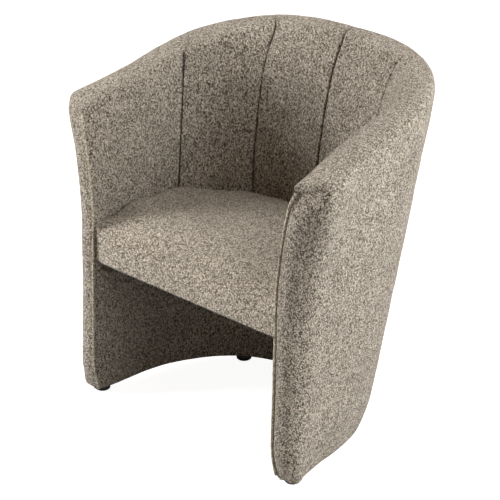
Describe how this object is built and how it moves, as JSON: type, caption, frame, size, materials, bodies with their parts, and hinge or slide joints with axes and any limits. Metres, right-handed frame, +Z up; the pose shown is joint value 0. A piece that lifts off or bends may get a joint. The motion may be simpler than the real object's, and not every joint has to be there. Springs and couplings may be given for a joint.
{
  "type": "tub chair",
  "caption": "Upholstered tub chair: a U-shaped shell with a high channelled back that slopes down to flared arms, a fixed padded seat between them, open under the seat, on low round glides.",
  "frame": {"origin": "Bottom centre of the chair's bounding box: on the floor under the glides, midway between the arms and midway between the front and the back.", "axes": "+Z is up. +Y points from the open front to the back, so the chair faces -Y. +X points to the right in a view from the front."},
  "size_m": [0.7484, 0.5275, 0.7559],
  "materials": {
    "shell_fabric": "matte looped chenille, mottled taupe",
    "seat_fabric": "matte looped chenille, mottled taupe",
    "welt_fabric": "matte looped chenille over cord",
    "dust_cloth": "matte non-woven cloth",
    "felt": "matte pressed felt",
    "foam": "open-cell foam",
    "frame_wood": "bare sawn pine and plywood",
    "hardboard": "bare hardboard",
    "spring_steel": "drawn spring wire and pressed clips",
    "screw_steel": "zinc plated",
    "glide_plastic": "moulded black plastic"
  },
  "bodies": {
    "root": {"base_board": "frame_wood", "arm_post_left": "frame_wood", "arm_post_right": "frame_wood", "side_post_left": "frame_wood", "side_post_right": "frame_wood", "back_post_left": "frame_wood", "back_post_right": "frame_wood", "back_post_center": "frame_wood", "seat_blocks": "frame_wood", "top_rail": "frame_wood", "outer_lining": "hardboard", "inner_lining": "hardboard", "shell_foam": "foam", "rim_foam": "foam", "nose_foam_left": "foam", "nose_foam_right": "foam", "outer_cover": "shell_fabric", "lower_cover": "shell_fabric", "arm_panel_left": "shell_fabric", "arm_panel_right": "shell_fabric", "back_panel_outer_left": "shell_fabric", "back_panel_inner_left": "shell_fabric", "back_panel_inner_right": "shell_fabric", "back_panel_outer_right": "shell_fabric", "welt_left": "welt_fabric", "welt_right": "welt_fabric", "seat_cleats": "frame_wood", "seat_board": "frame_wood", "zigzag_springs": "spring_steel", "spring_clips": "spring_steel", "spring_pad": "felt", "seat_foam": "foam", "seat_cover": "seat_fabric", "dust_cover": "dust_cloth", "glide_front_left": "glide_plastic", "glide_front_right": "glide_plastic", "glide_rear_left": "glide_plastic", "glide_rear_right": "glide_plastic", "glide_screws": "screw_steel", "seat_screws": "screw_steel"}
  },
  "joints": []
}
